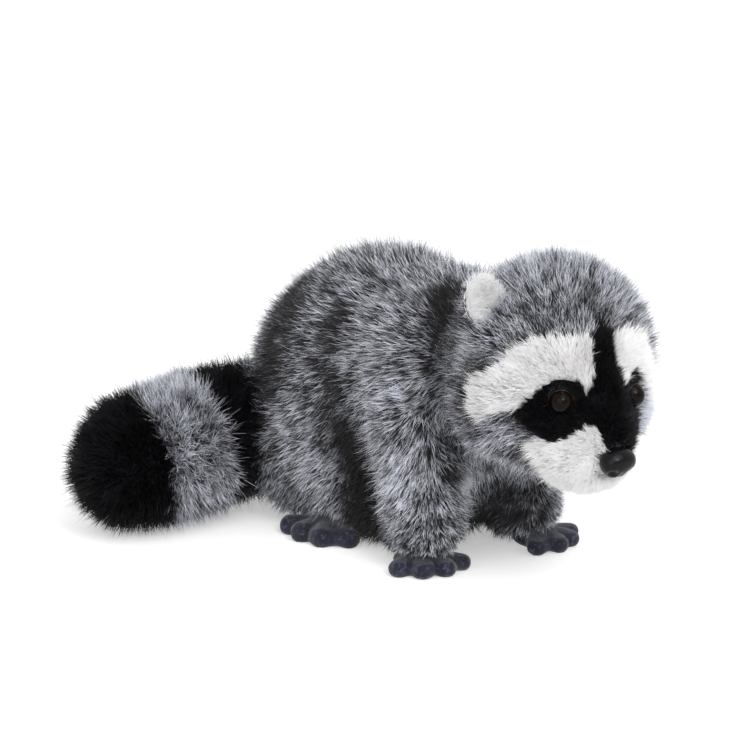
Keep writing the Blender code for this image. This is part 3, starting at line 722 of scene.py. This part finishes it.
@dataclass
class Hide:
    """The backing under the pile: one even skin round some CAD nodes, sunk by each zone's depth and cut up.

    voxel is the skin's cell, in metres. The rounds of averaging are relax for the skin as it comes, soften
    for each zone's depth and length, comb_soften for the way the fibres lean, normal_soften for the normals
    that the skin sinks along, and settle for the sunk skin.
    """

    zones: dict[str, Zone]
    voxel: float
    relax: int = 4
    soften: int = 10
    comb_soften: int = 30
    normal_soften: int = 6
    settle: int = 3
    name: str = "coat_skin"
    touches: tuple[Touch, ...] = TOUCHES
    points: np.ndarray = field(init=False)
    quads: np.ndarray = field(init=False)
    edges: np.ndarray = field(init=False)
    degree: np.ndarray = field(init=False)
    owner: np.ndarray = field(init=False)
    lean: np.ndarray = field(init=False)
    length: np.ndarray = field(init=False)
    shade: np.ndarray = field(init=False)
    cover: np.ndarray = field(init=False)

    def take(self, mesh: bpy.types.Mesh) -> None:
        """Makes a mesh of quads the skin."""
        self.points = mesh_arrays(mesh)[0]
        self.quads = np.array([list(face.vertices) for face in mesh.polygons])
        edges = np.empty(len(mesh.edges) * 2, np.int64)
        mesh.edges.foreach_get("vertices", edges)
        self.edges = edges.reshape(-1, 2)
        self.degree = np.bincount(edges, minlength=len(self.points)).astype(float)

    def averaged(self, values: np.ndarray, rounds: int, share: float = 0.6) -> np.ndarray:
        """Evens out values over the skin.

        Args:
            values: one row for each vertex.
            rounds: how many times each vertex takes from its neighbours.
            share: how much it takes each time.

        Returns:
            The evened values.
        """
        flat = values.reshape(len(values), -1)
        for _ in range(rounds):
            total = np.stack([
                np.bincount(self.edges[:, 0], flat[self.edges[:, 1], column], len(flat))
                + np.bincount(self.edges[:, 1], flat[self.edges[:, 0], column], len(flat))
                for column in range(flat.shape[1])
            ], axis=1)
            flat = flat * (1.0 - share) + total / self.degree[:, None] * share
        return flat.reshape(values.shape)

    def normals(self) -> np.ndarray:
        """The skin's vertex normals."""
        normals = np.zeros_like(self.points)
        corners = self.points[self.quads]
        facing = np.cross(corners[:, 2] - corners[:, 0], corners[:, 3] - corners[:, 1])
        for corner in range(4):
            np.add.at(normals, self.quads[:, corner], facing)
        return unit(normals)

    def combed(self, zone: Zone, points: np.ndarray) -> np.ndarray:
        """The way a zone's fibres lean at some points."""
        if zone.lay is Lay.BACK:
            way = np.tile([0.0, 1.0, 0.0], (len(points), 1))
            way[:, 2] = np.interp(points[:, 2] / MM, BACK_HEIGHTS, BACK_FALL)
        elif zone.lay is Lay.DOWN:
            way = np.tile(LEG_WAY, (len(points), 1))
        elif zone.lay is Lay.FROM_NOSE:
            way = unit(points - (HEAD_CENTRE + FACE_WAY * NOSE_AHEAD * MM))
        elif zone.lay is Lay.UPWARD:
            way = np.tile(EAR_WAY, (len(points), 1))
        else:
            way = np.tile(TAIL_WAY, (len(points), 1))
        return unit(way) * zone.lean

    def find_owners(self) -> None:
        """Finds each vertex's CAD node, as its place among the zones, and moves the trimmed seams."""
        names = list(self.zones)
        parts = [mesh_arrays(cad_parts[node].data) for node in names]
        triangles, sources, count = [], [], 0
        for place, (co, faces) in enumerate(parts):
            triangles += (faces + count).tolist()
            sources += [place] * len(faces)
            count += len(co)
        search = BVHTree.FromPolygons(np.concatenate([co for co, _ in parts]).tolist(), triangles)
        self.owner = np.array([sources[search.find_nearest(Vector(co))[2]] for co in self.points])
        for trim in TRIMS:
            if trim.node in names:
                near = Touch(trim.points, trim.reach, 0.0, 0.0).share(self.points) > SHARE_AT_REACH
                self.owner[(self.owner == names.index(trim.node)) & near] = names.index(trim.heir)

    def lay_out(self) -> None:
        """Makes the skin, gives each vertex its zone's fibres and sinks the skin below the coat."""
        mesh = remeshed(self.zones, self.voxel, self.name)
        self.take(mesh)
        bpy.data.meshes.remove(mesh)
        self.find_owners()
        zones = list(self.zones.values())
        depth = np.array([zones[place].depth for place in self.owner]) * MM
        length = np.array([zones[place].length for place in self.owner]) * MM
        lean = np.zeros_like(self.points)
        for place, zone in enumerate(zones):
            mine = self.owner == place
            lean[mine] = self.combed(zone, self.points[mine])
        self.points = self.averaged(self.points, self.relax)
        depth = self.averaged(depth, self.soften)
        self.length = self.averaged(length, self.soften)
        lean = self.averaged(lean, self.comb_soften)
        self.shade = np.zeros(len(self.points))
        for touch in self.touches:
            share = touch.share(self.points)
            depth += share * touch.press * MM
            self.shade += share * touch.shade
            self.length = self.length * (1.0 - share * touch.shorten)
            lean = lean * (1.0 + share * touch.comb)[:, None]
        normals = unit(self.averaged(self.normals(), self.normal_soften))
        low = self.points[:, 2] < BELLY_TOP * MM
        self.cover = 1.0 - BELLY_BARE * np.clip(-normals[:, 2], 0.0, 1.0) * low
        self.points = self.averaged(self.points - normals * depth[:, None], self.settle)
        self.points[:, 2] = np.maximum(self.points[:, 2], 2.0 * FLOOR_CLEARANCE)
        normals = self.normals()
        self.lean = lean - normals * (lean * normals).sum(axis=1)[:, None]

    def zone_mesh(self, node: str) -> bpy.types.Mesh:
        """The part of the skin that lies under one CAD node, with the coat's directions on it.

        Args:
            node: the CAD node's name.

        Returns:
            The mesh, with attributes "lean", "length", "shade" and "cover".
        """
        place = list(self.zones).index(node)
        votes = (self.owner[self.quads] == place).sum(axis=1)
        first = self.owner[self.quads[:, 0]] == place
        mine = self.quads[(votes > 2) | ((votes == 2) & first)]
        used, renumbered = np.unique(mine, return_inverse=True)
        mesh = bpy.data.meshes.new(f"{node}_hide")
        mesh.from_pydata(self.points[used].tolist(), [], renumbered.reshape(-1, 4).tolist())
        mesh.shade_smooth()
        lean = mesh.attributes.new("lean", "FLOAT_VECTOR", "POINT")
        lean.data.foreach_set("vector", self.lean[used].astype(np.float32).ravel())
        for label, values in (("length", self.length), ("shade", self.shade), ("cover", self.cover)):
            kept = mesh.attributes.new(label, "FLOAT", "POINT")
            kept.data.foreach_set("value", values[used].astype(np.float32))
        return mesh


@dataclass
class PileMachine:
    """The Geometry Nodes tree that stands tapered fibres on a backing, gathered into locks.

    A fibre's length is its zone's, times a draw between the two of lengths, times the first of lock_lengths
    and its lock's draw of the second. widths is used in the same way. Guard hairs are the few that pass the
    rest: a fibre becomes one as its draw goes from the first to the second of guards. stretch and slimmer are
    what they gain in length and lose in width, and upright is what they lose in lean. The tones are what a
    fibre's own draw, its lock's and a slow noise add to its lightness.
    """

    name: str = "pile_machine"
    lengths: tuple[float, float] = (0.72, 1.12)
    lock_lengths: tuple[float, float] = (0.9, 0.22)
    guards: tuple[float, float] = (0.86, 0.96)
    stretch: float = 0.5
    upright: float = 0.55
    slimmer: float = 0.35
    widths: tuple[float, float] = (0.75, 0.5)
    sway: float = 1.75
    sway_scale: float = 150.0
    base_tone: float = 0.05
    fibre_tone: float = 0.26
    lock_tone: float = 0.36
    drift_tone: float = 0.28
    drift_scale: float = 130.0
    lock_seed: int = 11
    full_turn: float = 6.283
    tree: bpy.types.NodeTree = field(init=False)
    sockets: dict[str, str] = field(init=False, default_factory=dict)

    def _input(self, label: str, kind: str) -> None:
        """Adds a named input to the tree and keeps its identifier."""
        item = self.tree.interface.new_socket(label, in_out="INPUT", socket_type=kind)
        self.sockets[label] = item.identifier

    def build(self) -> None:
        """Builds the tree: points, locks, fibres, their map and their material."""
        self.tree = bpy.data.node_groups.new(self.name, "GeometryNodeTree")
        sheet = NodeSheet(self.tree)
        self._input("Backing", "NodeSocketGeometry")
        for label in ("Density", "Lock Density", "Width", "Pull", "Spread", "Floor"):
            self._input(label, "NodeSocketFloat")
        self._input("Seed", "NodeSocketInt")
        self._input("Finish", "NodeSocketMaterial")
        self.tree.interface.new_socket("Pile", in_out="OUTPUT", socket_type="NodeSocketGeometry")
        given = sheet.add("NodeGroupInput")
        backing, seed, floor = given, given.part("Seed"), given.part("Floor")
        roots = sheet.scattered(backing, given.part("Density") * sheet.named("cover"), seed)
        locks = sheet.scattered(backing, given.part("Lock Density"), seed + self.lock_seed)
        place = sheet.add("GeometryNodeInputPosition")
        nearest = sheet.add("GeometryNodeSampleNearest", {"domain": "POINT"}, {"Geometry": locks})
        lock_place = sheet.sampled(locks, place, nearest, "FLOAT_VECTOR")
        lock_chance = sheet.sampled(locks, sheet.chance(seed), nearest, "FLOAT")
        guard = sheet.chance(6).step(*self.guards)
        tip = self._tip(sheet, given, roots.part("Normal"), place, lock_chance, guard)
        tip = tip + (lock_place - place) * given.part("Pull")
        high = sheet.add("ShaderNodeSeparateXYZ", None, {0: tip + place})
        tip = sheet.combined(high.part("X"), high.part("Y"), high.part("Z").at_least(floor)) - place
        fibre_length = sheet.add("ShaderNodeVectorMath", {"operation": "LENGTH"}, {0: tip}).part("Value")
        shade = sheet.chance(8)
        drift = sheet.noise(place, self.drift_scale, 3.0).step(0.34, 0.66)
        tone = shade * self.fibre_tone + lock_chance * self.lock_tone + drift * self.drift_tone
        # The backing's "shade" adds the touches' painted shade and their lightening, some of it painted light.
        tone = tone + sheet.named("shade") + self.base_tone
        points = sheet.stored(roots, "tone", tone.at_least(0.0).at_most(1.0))
        turned = sheet.add("FunctionNodeAlignRotationToVector", {"axis": "Z"}, {"Vector": tip})
        spun = sheet.add("FunctionNodeAxisAngleToRotation", None,
                         {"Axis": (0.0, 0.0, 1.0), "Angle": sheet.chance(9, 0.0, self.full_turn)})
        turned = sheet.add("FunctionNodeRotateRotation", {"rotation_space": "LOCAL"},
                           {"Rotation": turned, "Rotate By": spun})
        wide = given.part("Width") * (shade * self.widths[1] + self.widths[0])
        wide = wide * (guard * -self.slimmer + 1.0)
        strands = sheet.add("GeometryNodeInstanceOnPoints", None, {
            "Points": points, "Instance": self._fibre(sheet), "Rotation": turned,
            "Scale": sheet.combined(wide, wide, fibre_length)})
        realised = sheet.add("GeometryNodeRealizeInstances", None, {0: strands})
        across = sheet.named("tone") * 0.96 + 0.02 + sheet.named("side") * 0.012
        mapped = sheet.stored(realised, BAKE_MAP, sheet.combined(across, sheet.named("along")),
                              "FLOAT2", "CORNER")
        finished = sheet.add("GeometryNodeSetMaterial", None,
                             {"Geometry": mapped, "Material": given.part("Finish")})
        sheet.add("NodeGroupOutput", None, {0: finished})

    def _tip(
        self, sheet: NodeSheet, given: Signal, normal: Signal, place: Signal, lock_chance: Signal, guard: Signal
    ) -> Signal:
        """Where a fibre's tip stands from its root, before its lock pulls it.

        Args:
            sheet: the tree's sheet.
            given: the tree's inputs.
            normal: the backing's normal at the root.
            place: the root.
            lock_chance: the draw of the fibre's lock.
            guard: how far the fibre is a guard hair.

        Returns:
            The step from the root to the tip.
        """
        stray = sheet.add("FunctionNodeRandomValue", {"data_type": "FLOAT_VECTOR"},
                          {"Min": (-1.0, -1.0, -1.0), "Max": (1.0, 1.0, 1.0), "Seed": 3})
        swirl = sheet.add("ShaderNodeTexNoise", None,
                          {"Vector": place, "Scale": self.sway_scale, "Detail": 2.0}).part("Color")
        sway = sheet.add("ShaderNodeVectorMath", {"operation": "SUBTRACT"}, {0: swirl, 1: (0.5, 0.5, 0.5)})
        reach = (sheet.chance(5, *self.lengths) + guard * self.stretch) * sheet.named("length")
        reach = reach * (lock_chance * self.lock_lengths[1] + self.lock_lengths[0])
        way = normal + sheet.named("lean", "FLOAT_VECTOR") * (guard * -self.upright + 1.0)
        way = way + stray * given.part("Spread") + sway * self.sway
        return sheet.add("ShaderNodeVectorMath", {"operation": "NORMALIZE"}, {0: way}) * reach

    @staticmethod
    def _fibre(sheet: NodeSheet) -> Signal:
        """A closed three-sided spike, 1 long and wide, with its places along and across stored on it."""
        spike = sheet.add("GeometryNodeMeshCone", {"fill_type": "NGON"},
                          {"Vertices": 3, "Radius Top": 0.0, "Radius Bottom": 0.5, "Depth": 1.0})
        where = sheet.add("ShaderNodeSeparateXYZ", None, {0: sheet.add("GeometryNodeInputPosition")})
        spike = sheet.stored(spike, "along", where.part("Z") * 0.96 + (where.part("Y") + 0.5) * 0.02 + 0.01)
        return sheet.stored(spike, "side", where.part("X") * 2.0)

    def grow(
        self, piece: bpy.types.Object, zone: Zone, finish: bpy.types.Material, seed: int
    ) -> bpy.types.Mesh:
        """Stands a zone's fibres on a backing.

        Args:
            piece: the backing.
            zone: what the fibres are like.
            finish: their material.
            seed: the zone's own seed.

        Returns:
            The fibres as one plain mesh.
        """
        modifier = piece.modifiers.new("pile", "NODES")
        modifier.node_group = self.tree
        values = {
            "Density": zone.density / MM ** 2, "Lock Density": 1.0 / (zone.lock * MM) ** 2,
            "Width": zone.width * MM, "Pull": zone.pull, "Spread": zone.spread, "Floor": FLOOR_CLEARANCE,
            "Seed": seed, "Finish": finish,
        }
        for label, value in values.items():
            modifier[self.sockets[label]] = value
        mesh = baked(piece)
        piece.modifiers.remove(modifier)
        return mesh


@dataclass
class Coat:
    """All the furry pieces: a backing and a pile for each soft CAD node. The voxels are in mm."""

    machine: PileMachine
    voxel: float = 2.1
    ear_voxel: float = 1.1
    seed: int = 7
    ear_seeds: dict[str, int] = field(default_factory=lambda: {"right": 3007, "left": 4007})
    finishes: dict[str, bpy.types.Material] = field(default_factory=dict)

    def finish(self, finish: PileFinish | HideFinish) -> bpy.types.Material:
        """A finish's material, made once."""
        if finish.name not in self.finishes:
            self.finishes[finish.name] = finish.material()
        return self.finishes[finish.name]

    def dress(self, hide: Hide, seed: int) -> None:
        """Makes the pieces over one skin.

        Args:
            hide: the skin, not yet laid out.
            seed: the first zone's seed.
        """
        hide.lay_out()
        for step, (node, zone) in enumerate(hide.zones.items()):
            backing = new_piece(f"{node}_backing", hide.zone_mesh(node))
            pile_mesh = self.machine.grow(backing, zone, self.finish(zone.pile), seed + step * 101)
            pile_mesh.name = f"{node}_pile"
            fill_map(pile_mesh)
            pile = new_piece(f"{node}_pile", pile_mesh)
            for name in ("lean", "length", "shade", "cover"):
                backing.data.attributes.remove(backing.data.attributes[name])
            backing.data.materials.append(self.finish(zone.hide))
            for piece in (backing, pile):
                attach(piece, BODY)
                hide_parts(node)
            LOG.info("%s: %d fibres", pile.name, len(pile_mesh.vertices) // 4)

    def build(self) -> None:
        """Dresses the animal's skin, then each ear."""
        self.dress(Hide(COAT, self.voxel * MM), self.seed)
        for side, zones in EARS.items():
            skin = Hide(zones, self.ear_voxel * MM, relax=6, soften=4, comb_soften=12,
                        name=f"ear_skin_{side}", touches=EAR_TOUCHES)
            self.dress(skin, self.ear_seeds[side])


@dataclass
class Paws:
    """The four suede paws. The voxel, and how deep a full crease is, are in mm."""

    voxel: float = 0.95
    relax: int = 4
    flatten: int = 6
    full_crease: float = 0.25
    squash: float = 0.82
    nodes: tuple[str, ...] = ("front_paw_right", "front_paw_left", "hind_paw_right", "hind_paw_left")

    def build(self) -> None:
        """Makes each paw from its CAD node's form and dresses it."""
        finish = SUEDE.material()
        for node in self.nodes:
            mesh = remeshed([node], self.voxel * MM, f"{node}_suede")
            shape = Hide({}, self.voxel * MM)
            shape.take(mesh)
            rough = shape.points = shape.averaged(shape.points, self.relax)
            flat = shape.averaged(rough, self.flatten)
            # This crease measure feeds the suede's painted shade in the hollows and its painted sheen on the
            # ridges.
            hollow = ((flat - rough) * shape.normals()).sum(axis=1) / (self.full_crease * MM)
            crease = mesh.attributes.new("crease", "FLOAT", "POINT")
            crease.data.foreach_set("value", np.clip(hollow, -1.0, 1.0).astype(np.float32))
            rough[:, 2] *= self.squash
            mesh.vertices.foreach_set("co", rough.ravel())
            mesh.shade_smooth()
            mesh.materials.append(finish)
            piece = new_piece(f"{node}_suede", mesh)
            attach(piece, BODY)
            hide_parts(node)
            LOG.info("%s: %d faces", piece.name, len(mesh.polygons))


@dataclass(frozen=True)
class Snub:
    """What turns the nose's dome into a snub nose. All are shares of the dome's half sizes."""

    widen: float = 1.04
    widen_above: float = 0.14
    blunt_from: float = 0.55
    blunt: float = 0.7
    nostril_across: float = 0.52
    nostril_down: float = 0.22
    nostril_width: float = 0.2
    nostril_height: float = 0.26
    nostril_depth: float = 0.42
    cleft_top: float = 0.15
    cleft_width: float = 0.1
    cleft_depth: float = 0.16


@dataclass
class Buttons:
    """The eyes and the nose: smooth domes on the face. The rims' thickness and rise are in mm."""

    snub: Snub = Snub()
    levels: int = 2
    rim_reach: float = 0.93
    rim_thickness: float = 0.34
    rim_rise: float = 0.5
    rim_steps: int = 48
    rim_sides: int = 8
    eye_dome: float = 1.35
    eyes: tuple[str, ...] = ("eye_right", "eye_left")

    @staticmethod
    def frame_of(points: np.ndarray) -> tuple[np.ndarray, np.ndarray]:
        """A button's centre and its axes.

        Args:
            points: the button's points.

        Returns:
            The centre and three unit rows: across the face, up it and away from the head.
        """
        centre = (points.min(axis=0) + points.max(axis=0)) / 2.0
        out = unit(centre - HEAD_CENTRE)
        across = unit(np.cross([0.0, 0.0, 1.0], out))
        return centre, np.array([across, np.cross(out, across), out])

    def carve_nose(self, mesh: bpy.types.Mesh) -> None:
        """Turns the nose's dome into a blunt snub nose: wide above, with two nostrils and a cleft."""
        points = mesh_arrays(mesh)[0]
        centre, axes = self.frame_of(points)
        local = (points - centre) @ axes.T
        size = np.abs(local).max(axis=0)
        across, up, out = (local / size).T
        snub = self.snub
        across = across * (snub.widen + snub.widen_above * up)
        up = up * snub.widen
        front = np.clip(out, 0.0, 1.0)
        out = np.where(out > snub.blunt_from, snub.blunt_from + (out - snub.blunt_from) * snub.blunt, out)
        for side in (-1.0, 1.0):
            off = ((across - side * snub.nostril_across) / snub.nostril_width) ** 2
            off = off + ((up + snub.nostril_down) / snub.nostril_height) ** 2
            out = out - snub.nostril_depth * np.exp(-off) * front
        cleft = np.exp(-((across / snub.cleft_width) ** 2)) * np.clip(snub.cleft_top - up, 0.0, 1.0)
        out = out - snub.cleft_depth * cleft * front
        moved = np.stack([across, up, out], axis=1) * size @ axes + centre
        mesh.vertices.foreach_set("co", moved.ravel())

    def dome_eye(self, mesh: bpy.types.Mesh) -> None:
        """Rounds an eye's front, so that a lamp shows on it as a small light."""
        points = mesh_arrays(mesh)[0]
        centre, axes = self.frame_of(points)
        local = (points - centre) @ axes.T
        local[:, 2] = np.where(local[:, 2] > 0.0, local[:, 2] * self.eye_dome, local[:, 2])
        mesh.vertices.foreach_set("co", (local @ axes + centre).ravel())

    def add_rim(self, node: str, finish: bpy.types.Material) -> None:
        """Lays a thin rim round an eye, where it meets the pile.

        Args:
            node: the eye's CAD node.
            finish: the rim's material.
        """
        points = mesh_arrays(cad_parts[node].data)[0]
        centre, axes = self.frame_of(points)
        local = (points - centre) @ axes.T
        radius = np.linalg.norm(local[:, :2], axis=1).max() * self.rim_reach
        ring = bpy.data.meshes.new(f"{node}_rim")
        corners, faces, around, tube = [], [], self.rim_steps, self.rim_sides
        thick = self.rim_thickness * MM
        for step in range(around):
            turn = 2.0 * math.pi * step / around
            flat = math.cos(turn) * axes[0] + math.sin(turn) * axes[1]
            for bend in (2.0 * math.pi * place / tube for place in range(tube)):
                corners.append(centre + flat * (radius + thick * math.cos(bend))
                               + axes[2] * (self.rim_rise * MM + thick * math.sin(bend)))
            for place in range(tube):
                here, there = step * tube, (step + 1) % around * tube
                after = (place + 1) % tube
                faces.append((here + place, there + place, there + after, here + after))
        ring.from_pydata([corner.tolist() for corner in corners], [], faces)
        ring.shade_smooth()
        ring.materials.append(finish)
        piece = new_piece(f"{node}_rim", ring)
        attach(piece, BODY)

    def smooth_copy(self, node: str, name: str) -> bpy.types.Mesh:
        """A smooth, finely divided copy of a CAD button."""
        mesh = welded(name, *mesh_arrays(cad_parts[node].data))
        result = modified(mesh, "SUBSURF", {"levels": self.levels, "render_levels": self.levels})
        result.shade_smooth()
        return result

    def build(self) -> None:
        """Makes and dresses the eyes and the nose."""
        glass, plastic, rim = EYE_GLASS.material(), NOSE_PLASTIC.material(), EYE_RIM.material()
        for node in self.eyes:
            self.add_rim(node, rim)
        for node in (*self.eyes, "nose"):
            mesh = self.smooth_copy(node, f"{node}_gloss")
            if node == "nose":
                self.carve_nose(mesh)
            else:
                self.dome_eye(mesh)
            mesh.materials.append(plastic if node == "nose" else glass)
            piece = new_piece(f"{node}_gloss", mesh)
            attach(piece, BODY)
            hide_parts(node)
            LOG.info("%s: %d faces", piece.name, len(mesh.polygons))


@dataclass
class Studio:
    """The pale floor, the soft lamps and the camera at the photograph's angle. Lengths are in metres."""

    target: Vector = Vector((0.046582, 0.061127, 0.08))
    azimuth: float = -36.0
    elevation: float = 13.0
    distance: float = 1.0
    lens: float = 85.0
    floor_radius: float = 30.0
    floor_glow: float = 0.42
    ambient: float = 0.76

    def toward(self, azimuth: float, elevation: float) -> Vector:
        """The way from the target at an azimuth and an elevation, in degrees."""
        turn, rise = math.radians(azimuth), math.radians(elevation)
        return Vector((math.sin(turn) * math.cos(rise), -math.cos(turn) * math.cos(rise), math.sin(rise)))

    def place_camera(self) -> None:
        """Sets the camera."""
        data = bpy.data.cameras.new("camera")
        data.lens, data.sensor_width, data.clip_start = self.lens, 36.0, 0.01
        camera = bpy.data.objects.new("camera", data)
        back = self.toward(self.azimuth, self.elevation)
        camera.location = self.target + back * self.distance
        camera.rotation_euler = back.to_track_quat("Z", "Y").to_euler()
        bpy.context.scene.collection.objects.link(camera)
        bpy.context.scene.camera = camera

    def place_lamp(
        self, name: str, azimuth: float, elevation: float, away: float, size: float, power: float
    ) -> None:
        """Adds a square soft lamp that looks at the target.

        Args:
            name: the lamp's name.
            azimuth: its place round the object, in degrees.
            elevation: its height above the floor, in degrees.
            away: its distance, in metres.
            size: its side, in metres.
            power: in watts.
        """
        data = bpy.data.lights.new(name, "AREA")
        data.size, data.energy = size, power
        lamp = bpy.data.objects.new(name, data)
        back = self.toward(azimuth, elevation)
        lamp.location = self.target + back * away
        lamp.rotation_euler = back.to_track_quat("Z", "Y").to_euler()
        bpy.context.scene.collection.objects.link(lamp)

    def background_rays(self, sheet: NodeSheet) -> Signal:
        """1 on rays that show the background: from the camera, off gloss or through glass."""
        path = sheet.add("ShaderNodeLightPath")
        rays = path.part("Is Camera Ray") + path.part("Is Glossy Ray") + path.part("Is Transmission Ray")
        return rays.at_most(1.0)

    def light_world(self) -> None:
        """An even pale world, plain white to the camera."""
        world = bpy.data.worlds.new("studio")
        world.use_nodes = True
        world.node_tree.nodes.clear()
        sheet = NodeSheet(world.node_tree)
        strength = self.background_rays(sheet) * (1.0 - self.ambient) + self.ambient
        shine = sheet.add("ShaderNodeBackground", None,
                          {"Color": (1.0, 1.0, 1.0, 1.0), "Strength": strength})
        sheet.add("ShaderNodeOutputWorld", None, {"Surface": shine})
        bpy.context.scene.world = world

    def lay_floor(self) -> None:
        """A plain pale floor that keeps the object's shadow."""
        material, sheet, shader = new_material("pale_floor")
        feed(sheet, shader, {
            "Base Color": (0.80, 0.80, 0.80, 1.0), "Roughness": 0.9, "Specular IOR Level": 0.1,
            "Emission Color": (1.0, 1.0, 1.0, 1.0),
        })
        glow = self.background_rays(sheet) * self.floor_glow
        sheet.tree.links.new(glow.socket, shader.inputs["Emission Strength"])
        mesh = bpy.data.meshes.new("floor")
        disc = bmesh.new()
        bmesh.ops.create_circle(disc, cap_ends=True, segments=96, radius=self.floor_radius)
        disc.to_mesh(mesh)
        disc.free()
        mesh.materials.append(material)
        new_piece("floor", mesh)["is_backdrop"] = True

    def build(self) -> None:
        """Sets the camera, the world, the lamps and the floor."""
        self.place_camera()
        self.light_world()
        self.place_lamp("key", -6.0, 48.0, 1.6, 1.1, 9.0)
        self.place_lamp("front", -48.0, 24.0, 1.8, 1.2, 7.0)
        self.place_lamp("catch", -12.0, 34.0, 1.5, 0.35, 4.4)
        self.lay_floor()
        bpy.context.scene.view_settings.view_transform = "Standard"
        bpy.context.scene.cycles.diffuse_bounces = 8


def main() -> list[list[list[float]]]:
    """Builds the dressed raccoon in order.

    Returns:
        The CAD model's box.
    """
    logging.basicConfig(level=logging.INFO, format="%(name)s: %(message)s")
    cad_box = [list(corner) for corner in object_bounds()]
    Studio().build()
    machine = PileMachine()
    machine.build()
    Coat(machine).build()
    Paws().build()
    Buttons().build()
    return cad_box


if __name__ == "__main__":
    CAD_BOX = main()
